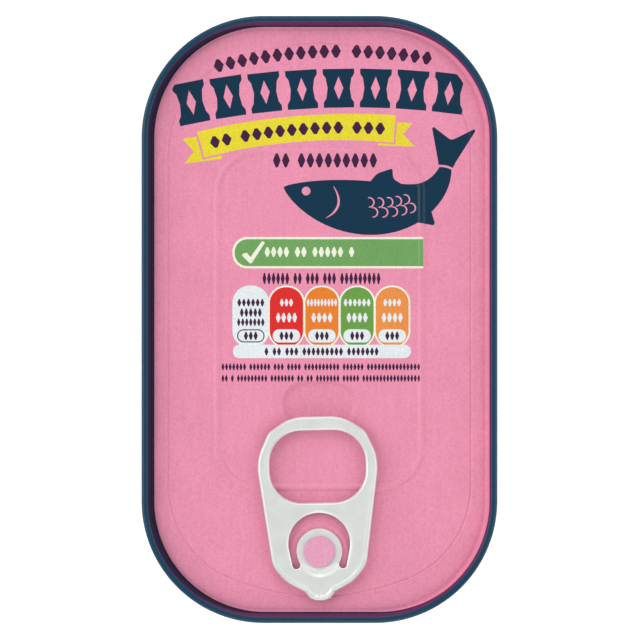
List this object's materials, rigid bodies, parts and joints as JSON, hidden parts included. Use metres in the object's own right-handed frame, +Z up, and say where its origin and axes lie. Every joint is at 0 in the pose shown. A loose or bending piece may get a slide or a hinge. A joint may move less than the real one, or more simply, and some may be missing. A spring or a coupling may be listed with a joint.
{
  "type": "sardine tin",
  "caption": "Shut oblong fish tin with rounded corners, a seamed-on printed lid and a riveted ring-pull tab, lying flat on its base.",
  "frame": {"origin": "middle of the underside, on the surface that the tin stands on", "axes": "+X across the tin, +Y along it away from the pull tab's end, +Z up out of the lid"},
  "size_m": [0.0632, 0.108, 0.028],
  "materials": {
    "tin_lacquer": "dark blue lacquer on drawn sheet, satin gloss",
    "lid_print": "pink printed lacquer with a clear varnish, satin gloss",
    "tab_metal": "bare stamped sheet with rolled edges, satin"
  },
  "bodies": {
    "root": {"can_body": "tin_lacquer", "lid": "lid_print", "pull_tab": "tab_metal"}
  },
  "joints": []
}
